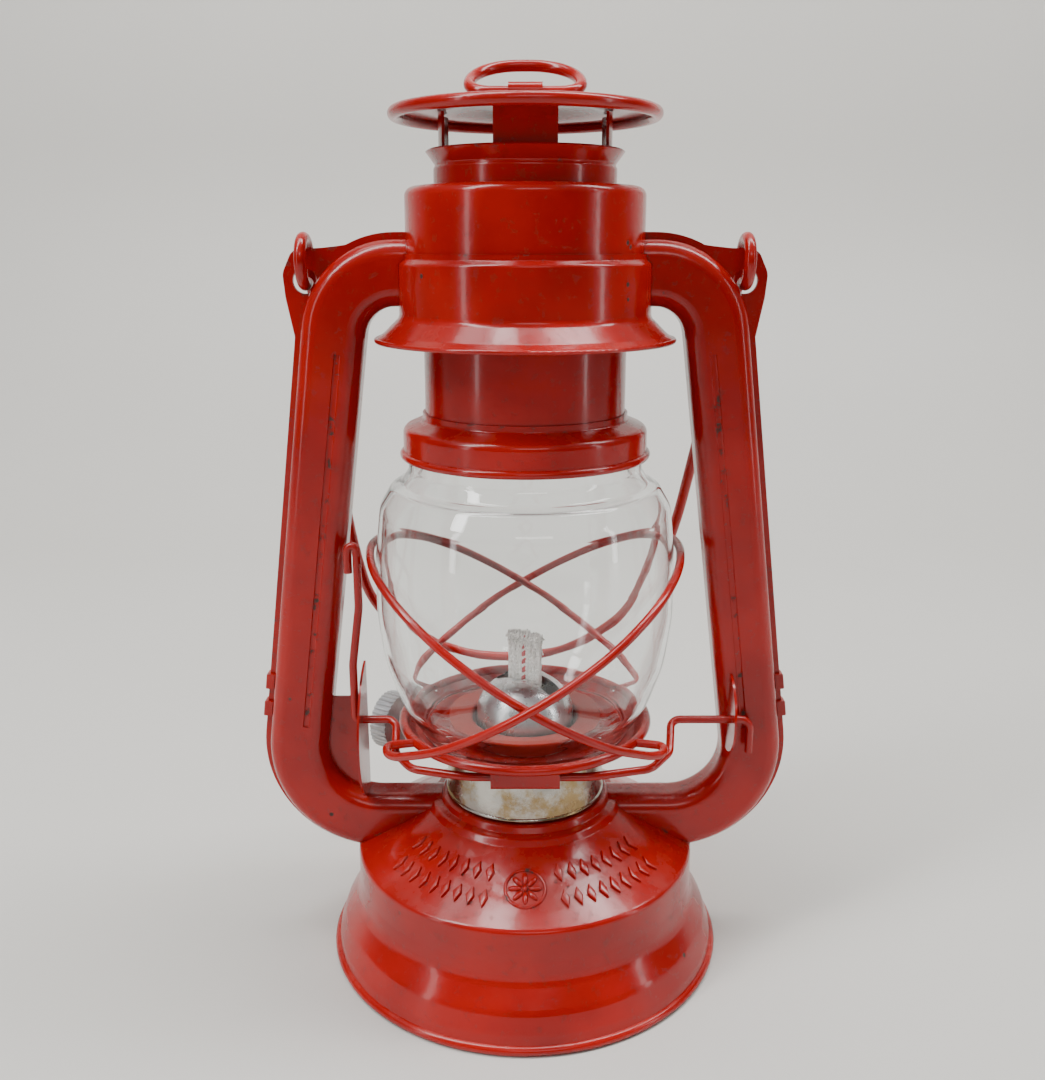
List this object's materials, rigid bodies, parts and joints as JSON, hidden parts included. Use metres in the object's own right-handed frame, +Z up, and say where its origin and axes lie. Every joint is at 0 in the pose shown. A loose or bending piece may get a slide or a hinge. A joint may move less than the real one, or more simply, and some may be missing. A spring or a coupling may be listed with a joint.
{
  "type": "oil lamp",
  "caption": "Red enamelled tubular wick lantern with a glass globe in crossed guard wires, a flared tank, side air tubes, a canopy with a lift ring and a wire handle.",
  "frame": {"origin": "middle of the foot, on the surface the lantern stands on", "axes": "+Z up, the front faces -Y, the lever is on the -X side"},
  "size_m": [0.1826, 0.1384, 0.3002],
  "materials": {
    "red_enamel": "glossy red stove enamel on pressed sheet, chipped and dusty along its edges",
    "enamelled_wire": "glossy red enamel on round wire",
    "draught_red": "orange red, dull from heat",
    "zinc": "zinc plate with a yellow stain",
    "bright_metal": "bright satin plate",
    "knob_steel": "plated steel, dark in the hollows",
    "spring_steel": "plain spring wire",
    "wick_cotton": "flat woven cotton with a red thread down the middle",
    "globe_glass": "clear blown glass, slightly wavy",
    "gasket_rubber": "black sealing ring"
  },
  "bodies": {
    "frame": {"tank_shell": "red_enamel", "tank_bottom": "red_enamel", "air_pan": "red_enamel", "tank_collar": "zinc", "filler_neck": "red_enamel", "burner_neck": "zinc", "burner_cup": "zinc", "burner_diffuser": "zinc", "burner_dome": "bright_metal", "wick_tube": "zinc", "chamber_crown": "red_enamel", "chamber_skirt": "red_enamel", "chimney_spring": "spring_steel", "right_tube_front": "red_enamel", "right_tube_rear": "red_enamel", "left_tube_front": "red_enamel", "left_tube_rear": "red_enamel", "seam_clips": "red_enamel", "left_bracket": "red_enamel", "right_bracket": "red_enamel"},
    "lift_lever": {"lift_wire": "enamelled_wire"},
    "globe_carrier": {"globe_plate": "red_enamel", "draught_ring": "draught_red", "plate_clip": "red_enamel", "globe": "globe_glass", "guard_wire_left": "enamelled_wire", "guard_wire_right": "enamelled_wire"},
    "chimney": {"globe_cap": "red_enamel", "chimney_tube": "red_enamel", "vent_collar": "red_enamel", "canopy_legs": "red_enamel", "canopy": "red_enamel", "ring_strap": "red_enamel"},
    "ring": {"lift_ring": "enamelled_wire"},
    "handle": {"bail": "enamelled_wire"},
    "wick_drive": {"wick_shaft": "knob_steel", "spur_wheels": "knob_steel", "wick_knob": "knob_steel"},
    "wick_band": {"wick": "wick_cotton"},
    "cap_seal": {"filler_gasket": "gasket_rubber"},
    "cap": {"filler_cap": "red_enamel"}
  },
  "joints": [
    {"name": "lever_turn", "type": "hinge", "parent": "frame", "child": "lift_lever", "pos_m": [0, -0.012, 0.088], "axis": [-1, 0, 0], "range_deg": [0, 22.2]},
    {"name": "globe_rise", "type": "slide", "parent": "frame", "child": "globe_carrier", "axis": [0, 0, 1], "range_m": [0, 0.01]},
    {"name": "chimney_rise", "type": "slide", "parent": "globe_carrier", "child": "chimney", "axis": [0, 0, 1], "range_m": [0, 0.014], "stiffness_N_per_m": 250, "springref_m": -0.012, "deforming": ["chimney_spring"]},
    {"name": "ring_turn", "type": "hinge", "parent": "chimney", "child": "ring", "pos_m": [0, 0, 0.28795], "axis": [1, 0, 0], "range_deg": [-12, 138]},
    {"name": "handle_swing", "type": "hinge", "parent": "frame", "child": "handle", "pos_m": [0, 0, 0.2385], "axis": [1, 0, 0], "range_deg": [0, 262]},
    {"name": "knob_turn", "type": "hinge", "parent": "frame", "child": "wick_drive", "pos_m": [0.0028, 0.00485, 0.066], "axis": [-0.866, 0.5, 0], "range_deg": [-171, 57]},
    {"name": "wick_rise", "type": "slide", "parent": "frame", "child": "wick_band", "axis": [0, 0, 1], "range_m": [-0.0119, 0.0039]},
    {"name": "cap_rise", "type": "slide", "parent": "frame", "child": "cap_seal", "axis": [0, 0.5017, 0.865], "range_m": [0, 0.00499]},
    {"name": "cap_turn", "type": "hinge", "parent": "cap_seal", "child": "cap", "pos_m": [0, 0.0465, 0.04475], "axis": [0, 0.5017, 0.865], "range_deg": [0, 720]}
  ],
  "couplings": [
    {"joint": "lever_turn", "follows": "globe_rise", "rad_per_m": 38.4},
    {"joint": "knob_turn", "follows": "wick_rise", "rad_per_m": 250},
    {"joint": "cap_turn", "follows": "cap_rise", "rad_per_m": 2513.3}
  ]
}
